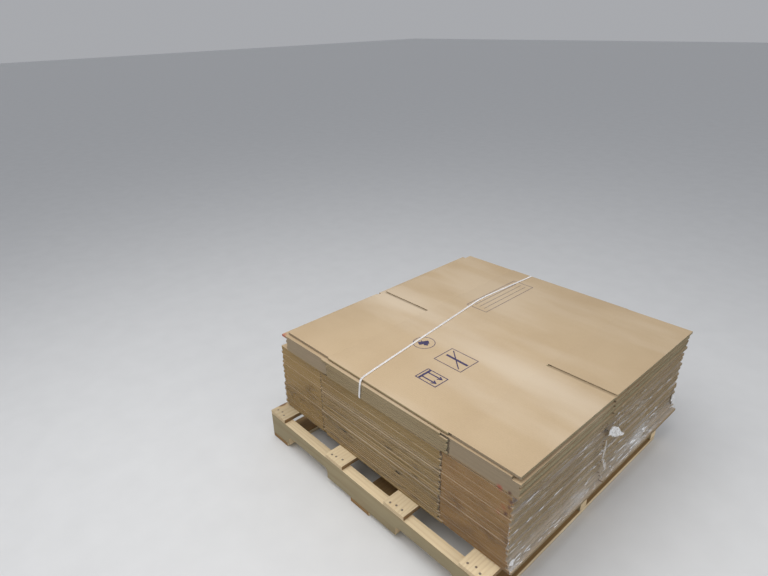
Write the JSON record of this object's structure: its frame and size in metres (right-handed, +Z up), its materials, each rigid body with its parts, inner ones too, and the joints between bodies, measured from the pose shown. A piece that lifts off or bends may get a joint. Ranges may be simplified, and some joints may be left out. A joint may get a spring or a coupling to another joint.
{
  "type": "wrapped pallet load of flattened cartons",
  "caption": "Bundles of flattened corrugated cartons on a notched stringer pallet, the lower bundles wrapped in clear stretch film and the top one tied with string.",
  "frame": {"origin": "centre of the whole footprint, on the floor under the pallet", "axes": "+X along the stringers, +Y along the deck boards, +Z up"},
  "size_m": [1.049, 1.0834, 0.4508],
  "materials": {
    "kraft_board": "matte kraft liner",
    "pallet_wood": "rough sawn, unpainted",
    "clear_film": "clear stretch film with streaky wrinkles",
    "white_string": "twisted white twine"
  },
  "bodies": {
    "root": {"bottom_board_1": "pallet_wood", "bottom_board_2": "pallet_wood", "bottom_board_3": "pallet_wood", "bundle_string": "white_string", "lower_carton_01": "kraft_board", "lower_carton_02": "kraft_board", "lower_carton_03": "kraft_board", "lower_carton_04": "kraft_board", "lower_carton_05": "kraft_board", "lower_carton_06": "kraft_board", "lower_carton_07": "kraft_board", "lower_carton_08": "kraft_board", "lower_carton_09": "kraft_board", "lower_carton_10": "kraft_board", "lower_carton_11": "kraft_board", "lower_carton_12": "kraft_board", "lower_carton_13": "kraft_board", "lower_carton_14": "kraft_board", "lower_carton_15": "kraft_board", "lower_carton_16": "kraft_board", "lower_carton_17": "kraft_board", "lower_carton_18": "kraft_board", "lower_carton_19": "kraft_board", "lower_carton_20": "kraft_board", "lower_carton_21": "kraft_board", "lower_carton_22": "kraft_board", "lower_carton_23": "kraft_board", "lower_carton_24": "kraft_board", "lower_carton_25": "kraft_board", "lower_carton_26": "kraft_board", "lower_carton_27": "kraft_board", "lower_carton_28": "kraft_board", "lower_carton_29": "kraft_board", "lower_carton_30": "kraft_board", "stretch_film": "clear_film", "stringer_back": "pallet_wood", "stringer_front": "pallet_wood", "stringer_middle": "pallet_wood", "top_board_1": "pallet_wood", "top_board_2": "pallet_wood", "top_board_3": "pallet_wood", "top_board_4": "pallet_wood", "top_carton_1": "kraft_board", "top_carton_2": "kraft_board", "top_carton_3": "kraft_board", "top_carton_4": "kraft_board", "top_carton_5": "kraft_board", "top_carton_6": "kraft_board", "top_carton_7": "kraft_board", "top_carton_8": "kraft_board"}
  },
  "joints": []
}
